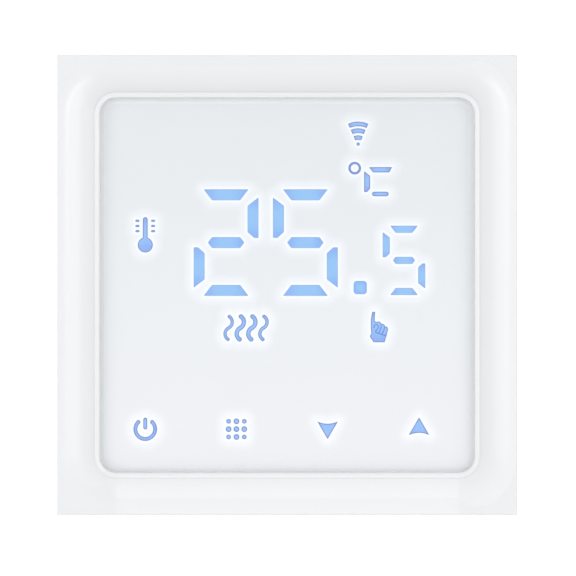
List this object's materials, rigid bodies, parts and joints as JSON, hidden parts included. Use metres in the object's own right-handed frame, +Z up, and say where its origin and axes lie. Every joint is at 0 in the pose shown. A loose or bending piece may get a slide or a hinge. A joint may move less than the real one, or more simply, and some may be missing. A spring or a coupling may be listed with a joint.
{
  "type": "wall thermostat",
  "caption": "Square flush-box room thermostat: white framed touch panel with a lit display, snapped on a steel wall plate with a power box behind.",
  "frame": {"origin": "middle of the wall plate's back, on the wall's surface", "axes": "the face looks along -Y, +X is right as seen by the user, +Z is up, and the power box goes into the wall along +Y"},
  "size_m": [0.086, 0.0395, 0.086],
  "materials": {
    "white_plastic": "glossy moulded polycarbonate",
    "panel_glass": "clear polished glass, bevelled edge",
    "mask_ink": "white printed film",
    "blue_light": "lit blue window",
    "foam_tape": "white double-sided foam",
    "reflector_white": "matt white light box",
    "spring_steel": "tinned spring wire",
    "circuit_board": "green solder mask",
    "led": "small lens",
    "chip_black": "moulded epoxy",
    "can_steel": "drawn and tinned",
    "parts_tan": "ceramic chips",
    "connector_black": "moulded nylon",
    "gold_pin": "gold flash",
    "sensor_bead": "dipped bead",
    "carrier_plastic": "moulded ABS",
    "zinc_screw": "bright zinc",
    "galvanised_steel": "galvanised sheet",
    "housing_plastic": "flame-retardant white plastic",
    "cover_sheet": "insulating board",
    "relay_base_black": "moulded",
    "relay_case": "white case",
    "copper_wire": "enamelled winding",
    "soft_iron": "plated iron",
    "contact_metal": "spring bronze",
    "ferrite": "sintered",
    "winding_tape": "yellow film tape",
    "capacitor_box": "potted box",
    "capacitor_sleeve": "shrunk sleeve",
    "varistor_blue": "dipped disc",
    "fuse_green": "coated",
    "terminal_green": "moulded nylon",
    "terminal_brass": "nickel-washed brass"
  },
  "bodies": {
    "wall_unit": {"mounting_plate": "galvanised_steel", "rear_housing": "housing_plastic", "insulating_cover": "cover_sheet", "housing_screws": "zinc_screw", "power_board": "circuit_board", "header_socket": "connector_black", "relay_base": "relay_base_black", "relay_cover": "relay_case", "relay_coil": "copper_wire", "relay_yoke": "soft_iron", "relay_contacts": "contact_metal", "transformer_core": "ferrite", "transformer_winding": "winding_tape", "film_capacitor": "capacitor_box", "electrolytic_capacitors": "capacitor_sleeve", "varistor": "varistor_blue", "fuse": "fuse_green", "terminal_block": "terminal_green", "terminal_contacts": "terminal_brass"},
    "front_unit": {"front_frame": "white_plastic", "touch_panel": "panel_glass", "mask_film": "mask_ink", "tens_digit": "blue_light", "units_digit": "blue_light", "tenths_digit": "blue_light", "unlit_segments": "mask_ink", "celsius_sign": "blue_light", "wifi_icon": "blue_light", "thermometer_icon": "blue_light", "heating_icon": "blue_light", "manual_icon": "blue_light", "key_icons": "blue_light", "panel_tape": "foam_tape", "display_reflector": "reflector_white", "touch_springs": "spring_steel", "display_board": "circuit_board", "segment_leds": "led", "controller_chips": "chip_black", "wifi_module": "can_steel", "board_components": "parts_tan", "header_base": "connector_black", "header_pins": "gold_pin", "room_sensor": "sensor_bead", "front_carrier": "carrier_plastic", "carrier_screws": "zinc_screw"},
    "armature": {"relay_armature": "soft_iron"},
    "screw_1": {"terminal_screw_1": "zinc_screw"},
    "clamp_1": {"terminal_clamp_1": "terminal_brass"},
    "screw_2": {"terminal_screw_2": "zinc_screw"},
    "clamp_2": {"terminal_clamp_2": "terminal_brass"},
    "screw_3": {"terminal_screw_3": "zinc_screw"},
    "clamp_3": {"terminal_clamp_3": "terminal_brass"},
    "screw_4": {"terminal_screw_4": "zinc_screw"},
    "clamp_4": {"terminal_clamp_4": "terminal_brass"},
    "screw_5": {"terminal_screw_5": "zinc_screw"},
    "clamp_5": {"terminal_clamp_5": "terminal_brass"},
    "screw_6": {"terminal_screw_6": "zinc_screw"},
    "clamp_6": {"terminal_clamp_6": "terminal_brass"}
  },
  "joints": [
    {"name": "front_unit_pull", "type": "slide", "parent": "wall_unit", "child": "front_unit", "axis": [0, -1, 0], "range_m": [0, 0.03]},
    {"name": "armature_tilt", "type": "hinge", "parent": "wall_unit", "child": "armature", "pos_m": [0.0049, 0.0196, 0.00735], "axis": [0, 0, -1], "range_deg": [0, 5], "stiffness_Nm_per_rad": 0.01, "springref_deg": -5.73},
    {"name": "screw_turn_1", "type": "hinge", "parent": "wall_unit", "child": "screw_1", "pos_m": [-0.0127, 0.0127, -0.0175], "axis": [0, -1, 0], "range_deg": [0, 1584.01]},
    {"name": "clamp_rise_1", "type": "slide", "parent": "wall_unit", "child": "clamp_1", "axis": [0, 1, 0], "range_m": [0, 0.0022]},
    {"name": "screw_turn_2", "type": "hinge", "parent": "wall_unit", "child": "screw_2", "pos_m": [-0.00762, 0.0127, -0.0175], "axis": [0, -1, 0], "range_deg": [0, 1584.01]},
    {"name": "clamp_rise_2", "type": "slide", "parent": "wall_unit", "child": "clamp_2", "axis": [0, 1, 0], "range_m": [0, 0.0022]},
    {"name": "screw_turn_3", "type": "hinge", "parent": "wall_unit", "child": "screw_3", "pos_m": [-0.00254, 0.0127, -0.0175], "axis": [0, -1, 0], "range_deg": [0, 1584.01]},
    {"name": "clamp_rise_3", "type": "slide", "parent": "wall_unit", "child": "clamp_3", "axis": [0, 1, 0], "range_m": [0, 0.0022]},
    {"name": "screw_turn_4", "type": "hinge", "parent": "wall_unit", "child": "screw_4", "pos_m": [0.00254, 0.0127, -0.0175], "axis": [0, -1, 0], "range_deg": [0, 1584.01]},
    {"name": "clamp_rise_4", "type": "slide", "parent": "wall_unit", "child": "clamp_4", "axis": [0, 1, 0], "range_m": [0, 0.0022]},
    {"name": "screw_turn_5", "type": "hinge", "parent": "wall_unit", "child": "screw_5", "pos_m": [0.00762, 0.0127, -0.0175], "axis": [0, -1, 0], "range_deg": [0, 1584.01]},
    {"name": "clamp_rise_5", "type": "slide", "parent": "wall_unit", "child": "clamp_5", "axis": [0, 1, 0], "range_m": [0, 0.0022]},
    {"name": "screw_turn_6", "type": "hinge", "parent": "wall_unit", "child": "screw_6", "pos_m": [0.0127, 0.0127, -0.0175], "axis": [0, -1, 0], "range_deg": [0, 1584.01]},
    {"name": "clamp_rise_6", "type": "slide", "parent": "wall_unit", "child": "clamp_6", "axis": [0, 1, 0], "range_m": [0, 0.0022]}
  ],
  "couplings": [
    {"joint": "screw_turn_1", "follows": "clamp_rise_1", "rad_per_m": 12566},
    {"joint": "screw_turn_2", "follows": "clamp_rise_2", "rad_per_m": 12566},
    {"joint": "screw_turn_3", "follows": "clamp_rise_3", "rad_per_m": 12566},
    {"joint": "screw_turn_4", "follows": "clamp_rise_4", "rad_per_m": 12566},
    {"joint": "screw_turn_5", "follows": "clamp_rise_5", "rad_per_m": 12566},
    {"joint": "screw_turn_6", "follows": "clamp_rise_6", "rad_per_m": 12566}
  ]
}
